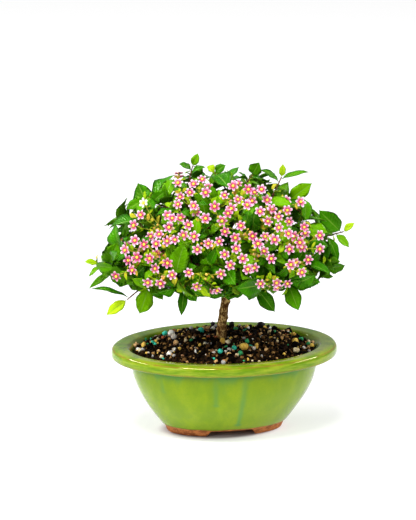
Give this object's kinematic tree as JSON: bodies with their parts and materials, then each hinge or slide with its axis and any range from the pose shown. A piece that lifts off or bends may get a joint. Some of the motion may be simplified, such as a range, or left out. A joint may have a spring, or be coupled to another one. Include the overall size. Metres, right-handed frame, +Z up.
{
  "type": "flowering bonsai in pot",
  "caption": "Flowering shrub trained as a bonsai, with a short trunk and a domed leafy crown of small pink blooms, in an oval glazed bowl on two low feet.",
  "frame": {"origin": "on the ground, under the middle of the whole plant's box", "axes": "+X along the pot's long axis, -Y towards the pot's front, +Z up the trunk. The plant's best side is seen from 12 degrees left of the front."},
  "size_m": [0.1934, 0.1573, 0.205],
  "materials": {
    "green_glaze": "glossy glaze",
    "black_plastic": "matte mesh",
    "soil": "loose crumb with grit",
    "bark": "rough bark",
    "leaf_green": "glossy leaves on twigs",
    "bloom_pink": "soft petals"
  },
  "bodies": {
    "root": {"pot": "green_glaze", "soil": "soil", "trunk": "bark", "drain_screen_left": "black_plastic", "drain_screen_right": "black_plastic", "spray_01": "leaf_green", "spray_02": "leaf_green", "spray_03": "leaf_green", "spray_04": "leaf_green", "spray_05": "leaf_green", "spray_06": "leaf_green", "spray_07": "leaf_green", "spray_08": "leaf_green", "spray_09": "leaf_green", "spray_10": "leaf_green", "spray_11": "leaf_green", "spray_12": "leaf_green", "spray_13": "leaf_green", "spray_14": "leaf_green", "spray_15": "leaf_green", "spray_16": "leaf_green", "spray_17": "leaf_green", "spray_18": "leaf_green", "spray_19": "leaf_green", "spray_20": "leaf_green", "spray_21": "leaf_green", "spray_22": "leaf_green", "spray_23": "leaf_green", "umbel_01": "bloom_pink", "umbel_02": "bloom_pink", "umbel_03": "bloom_pink", "umbel_04": "bloom_pink", "umbel_05": "bloom_pink", "umbel_06": "bloom_pink", "umbel_07": "bloom_pink", "umbel_08": "bloom_pink", "umbel_09": "bloom_pink", "umbel_10": "bloom_pink", "umbel_11": "bloom_pink", "umbel_12": "bloom_pink", "umbel_13": "bloom_pink", "umbel_14": "bloom_pink", "umbel_15": "bloom_pink", "umbel_16": "bloom_pink", "umbel_17": "bloom_pink", "umbel_18": "bloom_pink", "umbel_19": "bloom_pink", "umbel_20": "bloom_pink", "umbel_21": "bloom_pink", "umbel_22": "bloom_pink", "umbel_23": "bloom_pink", "umbel_24": "bloom_pink", "umbel_25": "bloom_pink", "umbel_26": "bloom_pink", "umbel_27": "bloom_pink", "umbel_28": "bloom_pink", "umbel_29": "bloom_pink", "umbel_30": "bloom_pink", "umbel_31": "bloom_pink", "umbel_32": "bloom_pink"}
  },
  "joints": []
}
